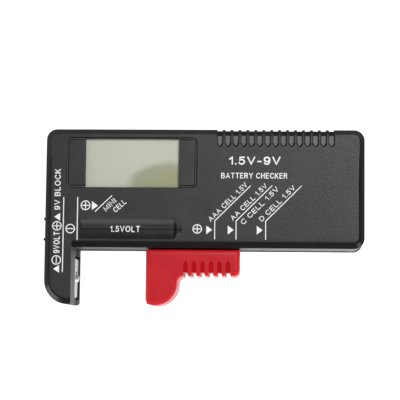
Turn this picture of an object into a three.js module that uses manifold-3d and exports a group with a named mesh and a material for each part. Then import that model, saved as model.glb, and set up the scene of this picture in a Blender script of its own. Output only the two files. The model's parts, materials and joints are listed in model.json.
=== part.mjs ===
// A hand-held battery tester, lying on its back. Two black shells hold a display, a circuit board and
// the contacts. A cell is held between the fixed arm at the lower left and a red slider that runs along
// the lower edge. A 9 V block is tested against two studs on the left side.
//
// Millimetres. +X is to the right, +Y is up the front face and +Z is out of the front face. The origin
// is the middle of the underside of the box round the whole object.

import * as THREE from "three";
import { mergeVertices } from "three/addons/utils/BufferGeometryUtils.js";
import Module from "manifold-3d";

const wasm = await Module();
wasm.setup();

// ---------------------------------------------------------------- driving dimensions

const CASE = { left: -53, right: 55, top: 29.85, bottom: -10.4, depth: 24 };
const ARM = { inner: -43.72, rearInner: -43.47, bottom: -29.7, corner: 1 };
const PARTING = 9; // height at which the rear shell ends and the front shell begins
const WALL = 2;
const CORNER_RADIUS = 3.6;
const REAR_CORNER_RADIUS = 2.5;
const ARM_CORNER_RADIUS = 8.2;
const FRONT_CHAMFER = 1.85;
const REAR_ROUND = 0.8;
const FRONT_INSIDE = CASE.depth - WALL; // height of the front wall's inner face
const LOW_WALL_INSIDE = CASE.bottom + WALL; // inner face of the lower side wall

const WINDOW = { x0: -39.4, x1: -7.62, y0: 9.88, y1: 26.48 }; // display opening
const FRAME_LINE = {
  x0: -45.45,
  x1: -1.96,
  y0: 10.15,
  y1: 26.46,
  radius: 1.2,
  width: 0.95,
  floor: 0.4,
  depth: 0.35,
};
const CELL_RELIEF = { x0: -41.02, x1: -9.1, tip: -6.6, y: -3.92, half: 3.78, tipHalf: 1.92, depth: 1.2 };
const GRIP = {
  count: 15,
  first: 6.09,
  pitch: 2.689,
  width: 2.1,
  floor: 1.3,
  end: 23.75,
  depth: 0.7,
  side: 0.4,
  point: 0.95,
};
const ARM_WINDOW = { y0: -27.9, y1: -12.8, z0: 3.2, z1: 13.2 };
const SLOT = { x0: -41.9, x1: 50.2, z0: 5.6 }; // slider slot, open up to the parting plane

const STUD = { positive: -3.6, spacing: 12.7, z: 12.4 }; // 9 V studs on the left side
const KEY_RIB = { gap: 7.05, width: 0.9, height: 2, z0: 3, z1: 12 };

const SCREW_HEAD = { radius: 2.1, height: 1.6, seat: 3 };
const SCREW_SHANK = { radius: 1.1, tip: 15 };
const BOSS = { radius: 2.8, bore: 1.3, recess: 2.35 };
const CASE_SCREWS = [
  [-47.5, 23.5],
  [48.5, 22.6],
  [48.5, 0.5],
  [-45.2, -5.2],
];

const SLIDER = { left: -18.42, right: 13.05, top: -10.65, bottom: -29.85, z0: 2.5, z1: 21.5 };
const SLIDER_EDGE = 1.7; // rounding round the slider's faces
const SLIDER_STEP = { width: 0.15, depth: 3 }; // step along the slider's upper edge
const SLIDER_WALL = 1.6;
const SLIDER_SPLIT = 12; // joint between the slider's two mouldings
const LOBE = { x: -15.5, radius: 7.5 }; // round finger lobe, centred on this x
const LOBE_FILLET = 2.35;
const RIDGE = { bottom: -19.75, count: 6, first: -5.3, pitch: 2.88, width: 1.5 };
const RIDGE_GROOVE = { point: -14.74, shoulder: -15.9, floor: -18.75, rearFloor: -18.25, depth: 0.6 };
const SLIDER_CORNER = 1.8;
const NECK = { x0: -14, x1: 9, z0: 5.9, z1: 8.7 };
const FLANGE = { x0: -16.5, x1: 11.5, y0: -8.1, y1: -6.7, z0: 2.6, z1: 12.6 };
const LEAF = 0.4; // thickness of the nickel contacts
const ARM_LEAF = { z0: 3.6, z1: 12.2, slant: 0.2 };
const NUB = { y: -20.5, z: 8, radius: 1.7, sunk: 0.45 };
const NUB_HOLE = { y0: -18.95, y1: -18.1, half: 1.9 }; // hole beside the nub
const RAIL = { x0: -41, x1: 52, y0: -5.2, y1: -4.8, z0: 5, z1: 9.4 };

const BOARD = { x0: -42.8, x1: 19.5, y0: -2.4, y1: 27.2, z0: 16.2, z1: 17.8 };
const BOARD_SCREWS = [
  [-40, 3.2],
  [16, 24.6],
  [16, 1],
];
const GLASS = { x0: -41.1, x1: -5.7, y0: 7.9, y1: 27.4, z0: 21.3, z1: 22.36 };
const REBATE = 22.4; // the display's glass sits up against this height

const RING = 24; // sides of a full circle

// ---------------------------------------------------------------- materials

function plastic(color, roughness) {
  return new THREE.MeshStandardMaterial({ color, roughness, metalness: 0 });
}

function metal(color, roughness) {
  return new THREE.MeshStandardMaterial({ color, roughness, metalness: 1 });
}

const blackShell = plastic(0x2b2b2a, 0.55);
const redSlider = plastic(0xb81c22, 0.42);
const nickel = metal(0xc9c6bf, 0.3);
const steel = metal(0x8d8f92, 0.35);
const displayFilm = plastic(0xbebeb0, 0.35);
const displayGlass = plastic(0xd5d8d0, 0.1);
const rubber = plastic(0x3a3a3c, 0.8);
const boardGreen = plastic(0x2f6b3a, 0.5);
const epoxy = plastic(0x121212, 0.35);
const ceramic = plastic(0xb9a988, 0.6);
const canSleeve = plastic(0x22304f, 0.4);
const ferrite = plastic(0x3c3c40, 0.7);
const redWire = plastic(0xb02020, 0.45);
const blackWire = plastic(0x1b1b1b, 0.45);

// ---------------------------------------------------------------- solids

/** A manifold solid from a closed three.js geometry. */
function solid(geometry) {
  const bare = geometry.index ? geometry.toNonIndexed() : geometry.clone();
  bare.deleteAttribute("normal");
  bare.deleteAttribute("uv");
  const merged = mergeVertices(bare, 1e-4);
  return new wasm.Manifold(
    new wasm.Mesh({
      numProp: 3,
      vertProperties: Float32Array.from(merged.attributes.position.array),
      triVerts: Uint32Array.from(merged.index.array),
    })
  );
}

/** The three.js geometry of a manifold solid. */
function geometryOf(body) {
  const mesh = body.getMesh();
  const geometry = new THREE.BufferGeometry();
  geometry.setAttribute("position", new THREE.BufferAttribute(Float32Array.from(mesh.vertProperties), 3));
  geometry.setIndex(Array.from(mesh.triVerts));
  geometry.computeVertexNormals();
  return geometry;
}

function block(x0, x1, y0, y1, z0, z1) {
  const geometry = new THREE.BoxGeometry(x1 - x0, y1 - y0, z1 - z0);
  geometry.translate((x0 + x1) / 2, (y0 + y1) / 2, (z0 + z1) / 2);
  return solid(geometry);
}

/** An upright round post from z0 to z1. */
function post(x, y, radius, z0, z1, sides = RING) {
  const geometry = new THREE.CylinderGeometry(radius, radius, z1 - z0, sides);
  geometry.rotateX(Math.PI / 2);
  geometry.translate(x, y, (z0 + z1) / 2);
  return solid(geometry);
}

/** A shape pulled up from z0 to z1. */
function prism(shape, z0, z1, curveSegments = 8) {
  const geometry = new THREE.ExtrudeGeometry(shape, { depth: z1 - z0, bevelEnabled: false, curveSegments });
  geometry.translate(0, 0, z0);
  return solid(geometry);
}

/** A shape pulled up from z0 to z1, its two ends drawn in by a chamfer or a rounding. */
function softPrism(shape, z0, z1, size, steps, curveSegments = 8, rise = size) {
  const geometry = new THREE.ExtrudeGeometry(shape, {
    depth: z1 - z0 - 2 * rise,
    bevelEnabled: true,
    bevelThickness: rise,
    bevelSize: size,
    bevelOffset: -size,
    bevelSegments: steps,
    curveSegments,
  });
  geometry.translate(0, 0, z0 + rise);
  return solid(geometry);
}

/** A profile of [radius, height] points spun about +Z. */
function turned(profile, sides = RING) {
  return new THREE.LatheGeometry(
    profile.map(([radius, height]) => new THREE.Vector2(radius, height)),
    sides
  ).rotateX(Math.PI / 2);
}

function union(parts) {
  return parts.reduce((whole, next) => whole.add(next));
}

function repeat(count, first, pitch) {
  return Array.from({ length: count }, (_, index) => first + index * pitch);
}

function polygon(points) {
  const shape = new THREE.Shape();
  points.forEach(([x, y], index) => (index ? shape.lineTo(x, y) : shape.moveTo(x, y)));
  shape.closePath();
  return shape;
}

/** A rectangle whose corners have one radius. */
function roundedRectangle(x0, x1, y0, y1, radius) {
  const shape = new THREE.Shape();
  shape.moveTo(x0 + radius, y0);
  shape.absarc(x1 - radius, y0 + radius, radius, -Math.PI / 2, 0, false);
  shape.absarc(x1 - radius, y1 - radius, radius, 0, Math.PI / 2, false);
  shape.absarc(x0 + radius, y1 - radius, radius, Math.PI / 2, Math.PI, false);
  shape.absarc(x0 + radius, y0 + radius, radius, Math.PI, 1.5 * Math.PI, false);
  return shape;
}

// ---------------------------------------------------------------- case

/** Outline of the case's main block, drawn in by inset. */
function bodyOutline(inset, corner = CORNER_RADIUS) {
  const { left, right, top, bottom } = CASE;
  return roundedRectangle(left + inset, right - inset, bottom + inset, top - inset, corner - inset);
}

/** Outline of the arm, drawn in by inset, with its right side at x1 and its top inside the block. */
function armOutline(inset, x1) {
  const radius = ARM_CORNER_RADIUS - inset;
  const left = CASE.left + inset;
  const bottom = ARM.bottom + inset;
  const top = CASE.top - CORNER_RADIUS - 2;
  const shape = new THREE.Shape();
  shape.moveTo(x1, bottom);
  shape.lineTo(x1, top);
  shape.lineTo(left, top);
  shape.lineTo(left, bottom + radius);
  shape.absarc(left + radius, bottom + radius, radius, Math.PI, 1.5 * Math.PI, false);
  return shape;
}

/** Both shells as one block: chamfered round the front and rounded round the back. */
function caseBlock(corner, armInner) {
  const spare = 8;
  const front = (outline) => softPrism(outline, -spare, CASE.depth, FRONT_CHAMFER, 1);
  const rear = (outline) => softPrism(outline, 0, CASE.depth + spare, REAR_ROUND, 3);
  const body = front(bodyOutline(0, corner)).intersect(rear(bodyOutline(0, corner)));
  // The arm's inner edge has no chamfer, so the outline runs on past it and is cut square there. A wide
  // slab rounds that edge at the back and at the arm's lower corner.
  const wide = armOutline(0, armInner + 4 * FRONT_CHAMFER);
  const armTop = CASE.bottom + 2 * CORNER_RADIUS;
  const armBox = block(CASE.left - 1, armInner, ARM.bottom - 1, armTop, -1, CASE.depth + 1);
  const slab = roundedRectangle(2 * CASE.left, armInner, ARM.bottom, 3 * CASE.top, ARM.corner);
  const arm = front(wide).intersect(rear(wide)).intersect(rear(slab)).intersect(armBox);
  return body.add(arm);
}

/** The hollow inside both shells. */
function caseHollow() {
  const body = prism(bodyOutline(WALL), WALL, FRONT_INSIDE);
  const side = block(CASE.left, ARM.inner - WALL, ARM.bottom, 0, 0, CASE.depth);
  const arm = prism(armOutline(WALL, ARM.inner), WALL, FRONT_INSIDE).intersect(side);
  return body.add(arm);
}

/** One grip groove in the front face, narrower at its floor, with a pointed inner end. */
function gripGroove(x) {
  const half = GRIP.width / 2;
  const shape = polygon([
    [x + half, CASE.top + 1],
    [x - half, CASE.top + 1],
    [x - half, GRIP.end + GRIP.point],
    [x - 0.5 * half, GRIP.end + 0.28 * GRIP.point],
    [x - 0.15 * half, GRIP.end],
    [x + 0.15 * half, GRIP.end],
    [x + 0.5 * half, GRIP.end + 0.28 * GRIP.point],
    [x + half, GRIP.end + GRIP.point],
  ]);
  const draft = (GRIP.width - GRIP.floor) / 2;
  return softPrism(shape, CASE.depth - GRIP.depth, CASE.depth + 3, draft, 1, 1, GRIP.depth);
}

/** The part of the grip grooves that runs over the chamfer and down the top side wall. */
function gripSides() {
  const wallY = CASE.top - GRIP.side;
  const faceZ = CASE.depth - GRIP.depth;
  const kept = polygon([
    [wallY, PARTING - 1],
    [wallY, CASE.depth - FRONT_CHAMFER - GRIP.side],
    [CASE.top - FRONT_CHAMFER - GRIP.side, faceZ],
    [CASE.top - 3 * FRONT_CHAMFER, faceZ],
    [CASE.top - 3 * FRONT_CHAMFER, PARTING - 1],
  ]);
  const geometry = new THREE.ExtrudeGeometry(kept, { depth: CASE.right - CASE.left, bevelEnabled: false });
  geometry.rotateX(Math.PI / 2);
  geometry.rotateZ(Math.PI / 2);
  geometry.translate(CASE.left, 0, 0);
  const half = (GRIP.width + GRIP.floor) / 4;
  const y0 = CASE.top - 2.5 * FRONT_CHAMFER;
  const slots = repeat(GRIP.count, GRIP.first, GRIP.pitch).map((x) =>
    block(x - half, x + half, y0, CASE.top + 1, PARTING - 1, CASE.depth + 1)
  );
  return union(slots).subtract(solid(geometry));
}

/** The battery-shaped hollow in the front face: a spun cell outline sunk a little way in. */
function cellRelief() {
  const { x0, x1, tip, y, half, tipHalf, depth } = CELL_RELIEF;
  const radius = (half * half + depth * depth) / (2 * depth);
  const axisHeight = radius - depth;
  const tipRadius = Math.hypot(tipHalf, axisHeight);
  const length = x1 - x0;
  const shoulder = length + (radius - tipRadius);
  const profile = [
    [0, 0],
    [radius, 0],
    [radius, length],
    [tipRadius, shoulder],
    [tipRadius, tip - x0],
    [0, tip - x0],
  ];
  const geometry = turned(profile, 64);
  geometry.rotateY(Math.PI / 2);
  geometry.translate(x0, y, CASE.depth + axisHeight);
  return solid(geometry);
}

/** The thin groove that frames the display, narrower at its floor. */
function frameGroove() {
  const { x0, x1, y0, y1, radius, width, floor, depth } = FRAME_LINE;
  const half = width / 2;
  const draft = (width - floor) / 2;
  const z0 = CASE.depth - depth;
  const outline = (grow) => roundedRectangle(x0 - grow, x1 + grow, y0 - grow, y1 + grow, radius + grow);
  const outer = softPrism(outline(half), z0, CASE.depth + 2, draft, 1, 6, depth);
  const island = softPrism(outline(-half + draft), z0 - 2, CASE.depth, draft, 1, 6, depth);
  return outer.subtract(island);
}

/** Ribs on the left side that let only the smaller stud of a 9 V block in between them. */
function keyRibs(z0, z1) {
  const half = KEY_RIB.width / 2;
  const x0 = CASE.left - KEY_RIB.height;
  return [-1, 1].map((side) => {
    const y = STUD.positive + (side * KEY_RIB.gap) / 2;
    return block(x0, CASE.left + 0.5, y - half, y + half, z0, z1);
  });
}

function studHoles() {
  return [STUD.positive, STUD.positive - STUD.spacing].map((y) => {
    const geometry = new THREE.CylinderGeometry(1.3, 1.3, 3 * WALL, 16);
    geometry.rotateZ(Math.PI / 2);
    geometry.translate(CASE.left + WALL / 2, y, STUD.z);
    return solid(geometry);
  });
}

function armWindowCut() {
  const { y0, y1, z0, z1 } = ARM_WINDOW;
  return block(ARM.inner - 1.5 * WALL, ARM.inner + 1, y0, y1, z0, z1);
}

function frontShell() {
  const upper = block(-60, 60, -35, 35, PARTING, 30);
  let shell = caseBlock(CORNER_RADIUS, ARM.inner).subtract(caseHollow()).intersect(upper);
  const bossTop = FRONT_INSIDE + 0.1;
  const bosses = CASE_SCREWS.map(([x, y]) => post(x, y, BOSS.radius, PARTING, bossTop));
  const inside = caseBlock(CORNER_RADIUS, ARM.inner).intersect(upper);
  const standoffs = BOARD_SCREWS.map(([x, y]) => post(x, y, 2.2, BOARD.z1 + 0.05, bossTop));
  const ribs = keyRibs(PARTING, KEY_RIB.z1);
  shell = union([shell, ...bosses.map((boss) => boss.intersect(inside)), ...standoffs, ...ribs]);
  const cuts = [
    block(WINDOW.x0, WINDOW.x1, WINDOW.y0, WINDOW.y1, FRONT_INSIDE - 2, CASE.depth + 1),
    block(GLASS.x0 - 0.2, GLASS.x1 + 0.2, GLASS.y0 - 0.2, CASE.top - WALL, FRONT_INSIDE - 1, REBATE),
    frameGroove(),
    cellRelief(),
    gripSides(),
    armWindowCut(),
    ...repeat(GRIP.count, GRIP.first, GRIP.pitch).map(gripGroove),
    ...studHoles(),
    ...CASE_SCREWS.map(([x, y]) => post(x, y, BOSS.bore, PARTING - 1, SCREW_SHANK.tip + 1)),
    ...BOARD_SCREWS.map(([x, y]) => post(x, y, 0.9, BOARD.z0, FRONT_INSIDE - 0.5, 12)),
  ];
  return cuts.reduce((rest, cut) => rest.subtract(cut), shell);
}

function rearShell() {
  const lower = block(-60, 60, -35, 35, -5, PARTING);
  const inside = caseBlock(REAR_CORNER_RADIUS, ARM.rearInner).intersect(lower);
  const shell = caseBlock(REAR_CORNER_RADIUS, ARM.rearInner).subtract(caseHollow()).intersect(lower);
  const posts = CASE_SCREWS.map(([x, y]) => post(x, y, 3.3, WALL / 2, PARTING).intersect(inside));
  const guide = block(SLOT.x0 - 0.5, RAIL.x1 + 0.6, RAIL.y1, RAIL.y1 + 1.2, WALL / 2, RAIL.z1);
  const whole = union([shell, ...posts, guide, ...keyRibs(KEY_RIB.z0, PARTING)]);
  const cuts = [
    block(SLOT.x0, SLOT.x1, CASE.bottom - 1, LOW_WALL_INSIDE + 0.1, SLOT.z0, PARTING + 1),
    armWindowCut(),
    ...CASE_SCREWS.map(([x, y]) => post(x, y, BOSS.recess, -1, SCREW_HEAD.seat)),
    ...CASE_SCREWS.map(([x, y]) => post(x, y, BOSS.bore, -1, PARTING + 1)),
  ];
  return cuts.reduce((rest, cut) => rest.subtract(cut), whole);
}

// ---------------------------------------------------------------- slider

/** Outline of the slider: straight finger face, round lobe, fillet and ridge edge, drawn in by inset. */
function sliderOutline(inset, ridgeBottom) {
  const lobeY = SLIDER.bottom + LOBE.radius;
  const lobeRight = LOBE.x + LOBE.radius;
  const fillet = LOBE_FILLET + inset;
  const filletY = ridgeBottom - LOBE_FILLET;
  const lobeRadius = LOBE.radius - inset;
  const corner = SLIDER_CORNER;
  const shape = new THREE.Shape();
  shape.moveTo(SLIDER.left + inset, SLIDER.top - inset);
  shape.lineTo(SLIDER.left + inset, lobeY);
  const lobeStart = -Math.PI / 2 - Math.asin((LOBE.x - SLIDER.left - inset) / lobeRadius);
  shape.absarc(LOBE.x, lobeY, lobeRadius, lobeStart, 0, false);
  shape.absarc(lobeRight + LOBE_FILLET, filletY, fillet, Math.PI, Math.PI / 2, true);
  const right = SLIDER.right - inset;
  shape.absarc(right - corner, ridgeBottom + inset + corner, corner, -Math.PI / 2, 0, false);
  shape.lineTo(right, SLIDER.top - inset);
  return shape;
}

/** One ridge groove: pointed at the top, sunk into the face whose height is z. */
function ridgeGroove(x, z, away) {
  const half = RIDGE.width / 2;
  const shape = polygon([
    [x - half, RIDGE.bottom - 1],
    [x + half, RIDGE.bottom - 1],
    [x + half, RIDGE_GROOVE.shoulder],
    [x + 0.55 * half, RIDGE_GROOVE.shoulder + 0.75],
    [x, RIDGE_GROOVE.point],
    [x - 0.55 * half, RIDGE_GROOVE.shoulder + 0.75],
    [x - half, RIDGE_GROOVE.shoulder],
  ]);
  const deep = z - away * RIDGE_GROOVE.depth;
  return prism(shape, Math.min(deep, z + away), Math.max(deep, z + away));
}

/** The whole slider before it is divided into its two mouldings. */
function sliderBlock() {
  const outline = sliderOutline(0, RIDGE.bottom);
  let body = softPrism(outline, SLIDER.z0, SLIDER.z1, SLIDER_EDGE, 4, 5);
  for (const x of repeat(RIDGE.count, RIDGE.first, RIDGE.pitch)) {
    const half = RIDGE.width / 2;
    const low = RIDGE.bottom - 1;
    body = body.subtract(block(x - half, x + half, low, RIDGE_GROOVE.floor, SLIDER_SPLIT, CASE.depth));
    body = body.subtract(block(x - half, x + half, low, RIDGE_GROOVE.rearFloor, 0, SLIDER_SPLIT));
    body = body.subtract(ridgeGroove(x, SLIDER.z1, 1));
    body = body.subtract(ridgeGroove(x, SLIDER.z0, -1));
  }
  const stepY = SLIDER.top - SLIDER_STEP.width;
  for (const z of [SLIDER.z0, SLIDER.z1]) {
    const { depth } = SLIDER_STEP;
    body = body.subtract(block(-60, 60, stepY, SLIDER.top + 1, z - depth, z + depth));
  }
  const roof = RIDGE_GROOVE.depth + SLIDER_WALL;
  const hollow = sliderOutline(SLIDER_WALL, RIDGE_GROOVE.floor + 0.4);
  return body.subtract(prism(hollow, SLIDER.z0 + roof, SLIDER.z1 - roof));
}

function sliderFront() {
  return sliderBlock().intersect(block(-60, 60, -35, 35, SLIDER_SPLIT, 30));
}

function sliderRear() {
  const lower = sliderBlock().intersect(block(-60, 60, -35, 35, 0, SLIDER_SPLIT));
  const neck = block(NECK.x0, NECK.x1, SLIDER.top - 1, FLANGE.y0 + 0.5, NECK.z0, NECK.z1);
  const flange = block(FLANGE.x0, FLANGE.x1, FLANGE.y0, FLANGE.y1, FLANGE.z0, FLANGE.z1);
  return union([lower, neck, flange]);
}

/** A flat strip bent along a line of [x, y] points, as wide as z0 to z1. */
function bentStrip(points, z0, z1, thickness = LEAF) {
  const half = thickness / 2;
  const sides = [1, -1].map((side) =>
    points.map(([x, y], index) => {
      const before = points[Math.max(index - 1, 0)];
      const after = points[Math.min(index + 1, points.length - 1)];
      const run = Math.hypot(after[0] - before[0], after[1] - before[1]);
      const nx = -(after[1] - before[1]) / run;
      const ny = (after[0] - before[0]) / run;
      return [x + side * half * nx, y + side * half * ny];
    })
  );
  return prism(polygon([...sides[1], ...sides[0].reverse()]), z0, z1);
}

/** Nickel plate on the slider's finger face. Its tongue enters the slot and ends in a sprung wiper. */
function sliderContact() {
  const x = SLIDER.left - 0.05;
  const plate = block(x - LEAF, x, -28.4, SLIDER.top - 0.6, 5.2, 18.8);
  const tongue = block(x - LEAF, x, SLIDER.top - 1, -6.8, 6.2, 8.4);
  const middle = x - LEAF / 2;
  const wiper = bentStrip(
    [
      [middle, -7.2],
      [middle + 0.1, -6.6],
      [middle + 0.7, -6.25],
      [middle + 2.2, -6.05],
      [middle + 6, -5.65],
      [middle + 8.5, -5.5],
      [middle + 11, -5.85],
      [middle + 11.6, -6.05],
    ],
    6.2,
    8.4,
    0.3
  );
  return union([plate, tongue, wiper]);
}

/** The strip inside the case that the wiper runs along. */
function contactRail() {
  return block(RAIL.x0, RAIL.x1, RAIL.y0, RAIL.y1 - 0.02, RAIL.z0, RAIL.z1);
}

// ---------------------------------------------------------------- fixed contacts

/** Sprung nickel leaf in the arm's window, with a hole and a nub that the cell's end rests on. */
function armContact() {
  const face = ARM.inner - 0.3;
  const { z0, z1, slant } = ARM_LEAF;
  const leaf = bentStrip(
    [
      [face - 2.3, -12.1],
      [face - 2.3, -12.9],
      [face - 2, -13.3],
      [face - 0.5, -13.45],
      [face, -13.9],
      [face - slant, -26.8],
      [face - slant - 0.3, -27.2],
      [face - 1.9, -27.35],
    ],
    z0,
    z1
  );
  const nub = new THREE.SphereGeometry(NUB.radius, 20, 14);
  nub.translate(face - NUB.sunk, NUB.y, NUB.z);
  const proud = block(face - 0.1, ARM.inner + 2, NUB.y - 2, NUB.y + 2, z0, z1);
  const { y0, y1, half } = NUB_HOLE;
  const hole = block(face - 1, face + 1, y0, y1, NUB.z - half, NUB.z + half);
  return leaf.add(solid(nub).intersect(proud)).subtract(hole);
}

/** A riveted stud that a 9 V block's terminal is pressed against, pointing along -X. */
function nineVoltStud() {
  const wall = WALL + 0.1;
  const profile = [
    [0, 0.75],
    [1.2, 0.66],
    [2, 0.4],
    [2.3, 0.1],
    [1.15, 0.1],
    [1.15, -wall],
    [1.9, -wall],
    [1.9, -wall - 0.6],
    [0, -wall - 0.6],
  ];
  return turned(profile.reverse(), RING).rotateY(-Math.PI / 2);
}

// ---------------------------------------------------------------- display and board

function boardPlate() {
  const plate = block(BOARD.x0, BOARD.x1, BOARD.y0, BOARD.y1, BOARD.z0, BOARD.z1);
  const holes = BOARD_SCREWS.map(([x, y]) => post(x, y, 1.2, BOARD.z0 - 1, BOARD.z1 + 1, 16));
  return holes.reduce((rest, hole) => rest.subtract(hole), plate);
}

/** Pan-head screw with a cross recess, its head's underside at height 0 and its shank upwards. */
function panScrew(headRadius, headHeight, shankRadius, length) {
  const profile = [
    [0, -headHeight],
    [0.7 * headRadius, -headHeight],
    [headRadius, -0.6 * headHeight],
    [headRadius, 0],
    [shankRadius, 0],
    [shankRadius, length - shankRadius],
    [0.25 * shankRadius, length],
    [0, length],
  ];
  const slotHalf = 0.14 * headRadius;
  const arm = 0.55 * headRadius;
  const floor = -0.45 * headHeight;
  return solid(turned(profile, 20))
    .subtract(block(-arm, arm, -slotHalf, slotHalf, -2 * headHeight, floor))
    .subtract(block(-slotHalf, slotHalf, -arm, arm, -2 * headHeight, floor));
}

/** Load resistor lying along X, with its leads bent up to the board above it. */
function loadResistor() {
  const profile = [
    [0, -3.2],
    [0.9, -3.2],
    [1.2, -2.9],
    [1.2, -2],
    [1.05, -1.8],
    [1.05, 1.8],
    [1.2, 2],
    [1.2, 2.9],
    [0.9, 3.2],
    [0, 3.2],
  ];
  const body = solid(turned(profile, 16).rotateY(Math.PI / 2));
  const leads = [-1, 1].map((side) => {
    const bend = [
      new THREE.Vector3(side * 3, 0, 0),
      new THREE.Vector3(side * 4.2, 0, 0),
      new THREE.Vector3(side * 4.6, 0, 0.4),
      new THREE.Vector3(side * 4.6, 0, 1.8),
    ];
    return solid(tube(bend, 0.3, 10, 6));
  });
  return union([body, ...leads]);
}

/** A round tube with closed ends along a smooth line through the points. */
function tube(points, radius, steps, sides = 8) {
  const section = new THREE.Shape();
  for (let index = 0; index < sides; index += 1) {
    const angle = (2 * Math.PI * index) / sides;
    const x = radius * Math.cos(angle);
    const y = radius * Math.sin(angle);
    index ? section.lineTo(x, y) : section.moveTo(x, y);
  }
  const extrudePath = new THREE.CatmullRomCurve3(points, false, "centripetal");
  return new THREE.ExtrudeGeometry(section, { steps, bevelEnabled: false, extrudePath });
}

// ---------------------------------------------------------------- assembly

function piece(name, shape, material, x = 0, y = 0, z = 0) {
  const geometry = shape.isBufferGeometry ? shape : geometryOf(shape);
  const mesh = new THREE.Mesh(geometry, material.clone());
  mesh.name = name;
  mesh.position.set(x, y, z);
  return mesh;
}

function housing() {
  const group = new THREE.Group();
  group.add(piece("front_shell", frontShell(), blackShell));
  group.add(piece("rear_shell", rearShell(), blackShell));
  const shankLength = SCREW_SHANK.tip - SCREW_HEAD.seat;
  const screw = panScrew(SCREW_HEAD.radius, SCREW_HEAD.height, SCREW_SHANK.radius, shankLength);
  CASE_SCREWS.forEach(([x, y], index) => {
    group.add(piece(`case_screw_${index + 1}`, screw, steel, x, y, SCREW_HEAD.seat - 0.02));
  });
  const stud = nineVoltStud();
  group.add(piece("nine_volt_positive_stud", stud, nickel, CASE.left, STUD.positive, STUD.z));
  const negative = STUD.positive - STUD.spacing;
  group.add(piece("nine_volt_negative_stud", stud, nickel, CASE.left, negative, STUD.z));
  group.add(piece("contact_rail", contactRail(), nickel));
  return group;
}

function slider() {
  const group = new THREE.Group();
  group.add(piece("slider_front", sliderFront(), redSlider));
  group.add(piece("slider_rear", sliderRear(), redSlider));
  group.add(piece("slider_contact", sliderContact(), nickel));
  return group;
}

function display() {
  const { x0, x1, y0, y1, z0, z1 } = GLASS;
  const rim = 0.05;
  const ledge = 2.6; // strip of the front glass that carries the display's terminals
  const group = new THREE.Group();
  const { x0: left, x1: right, y0: bottom, y1: top } = WINDOW;
  const film = block(left + rim, right - rim, bottom + rim, top - rim, z1 + 0.02, z1 + 0.22);
  group.add(piece("lcd_polarizer", film, displayFilm));
  group.add(piece("lcd_front_glass", block(x0, x1, y0, y1, z0, z1), displayGlass));
  group.add(piece("lcd_rear_glass", block(x0, x1, y0 + ledge, y1, z0 - 1.1, z0 - 0.05), displayGlass));
  const reflector = block(x0 + 1, x1 - 1, y0 + ledge + 0.6, y1 - 0.6, z0 - 1.35, z0 - 1.15);
  group.add(piece("lcd_reflector", reflector, displayFilm));
  const connector = block(x0 + 1, x1 - 1, y0 + 0.2, y0 + 2.2, BOARD.z1 + 0.05, z0 - 0.05);
  group.add(piece("lcd_connector", connector, rubber));
  return group;
}

function electronics() {
  const group = new THREE.Group();
  group.add(piece("circuit_board", boardPlate(), boardGreen));
  const screw = panScrew(1.7, 1.1, 0.75, 4.6);
  BOARD_SCREWS.forEach(([x, y], index) => {
    group.add(piece(`board_screw_${index + 1}`, screw, steel, x, y, BOARD.z0 - 0.02));
  });
  const under = BOARD.z0 - 0.05;
  const blob = turned([[0, 0], [4.6, 0], [4.4, -0.6], [3.4, -1.3], [1.8, -1.7], [0, -1.8]].reverse(), 24);
  group.add(piece("chip_blob", blob, epoxy, -24, 14, under));
  repeat(2, 3.2, 4.2).forEach((y, index) => {
    group.add(piece(`load_resistor_${index + 1}`, loadResistor(), ceramic, -6, y, under - 1.85));
  });
  repeat(4, -34, 3.4).forEach((x, index) => {
    const chip = block(-1, 1, -0.6, 0.6, -0.6, 0);
    group.add(piece(`chip_resistor_${index + 1}`, chip, epoxy, x, 5.5, under));
  });
  const can = turned([[0, -3.6], [2.4, -3.6], [2.5, -3.4], [2.5, 3.4], [2.4, 3.6], [0, 3.6]], 20);
  can.rotateY(Math.PI / 2);
  group.add(piece("capacitor", can, canSleeve, 8, 20, under - 2.6));
  const profile = [[0, -4], [3, -4], [3, -3.2], [2.2, -3], [2.2, -1], [3, -0.8], [3, 0], [0, 0]];
  const drum = turned(profile, 20);
  group.add(piece("inductor", drum, ferrite, 9, 10, under));
  return group;
}

/** Wires from the contacts to the pads on the underside of the board. */
function wiring() {
  const pad = BOARD.z0 - 0.4;
  const inside = CASE.left + WALL + 1.6;
  const negative = STUD.positive - STUD.spacing;
  const runs = {
    nine_volt_positive_wire: [
      [inside, STUD.positive, STUD.z],
      [-48.8, -1, 13],
      [-46, 6.5, 14.6],
      [-41.5, 9, pad - 0.4],
    ],
    nine_volt_negative_wire: [
      [inside, negative, STUD.z],
      [-49.6, -12, 9],
      [-49.5, -3.6, 8],
      [-48.5, 4, 9],
      [-45.5, 9.5, 13],
      [-41.5, 11.5, pad - 0.4],
    ],
    arm_contact_wire: [
      [-49.4, -13.6, 6],
      [-49.5, -8, 5],
      [-49.3, 0, 5],
      [-46, 5, 8],
      [-42.5, 6.5, 13],
      [-40.8, 6.8, pad - 0.4],
    ],
    rail_wire: [
      [-39.5, -3, 10.1],
      [-39.4, -1.8, 11.5],
      [-39, -1.2, 14],
      [-38.5, -1, pad - 0.3],
    ],
  };
  const group = new THREE.Group();
  for (const [name, points] of Object.entries(runs)) {
    const path = points.map(([x, y, z]) => new THREE.Vector3(x, y, z));
    const colour = name.includes("positive") || name.includes("rail") ? redWire : blackWire;
    group.add(piece(name, tube(path, 0.55, 24), colour));
  }
  return group;
}

const tester = new THREE.Group();
tester.add(housing(), slider(), display(), electronics(), wiring());
tester.add(piece("arm_contact", armContact(), nickel));

export default tester;
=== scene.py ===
import json
import math

import bmesh
import bpy
from mathutils import Euler, Matrix, Vector


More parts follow.
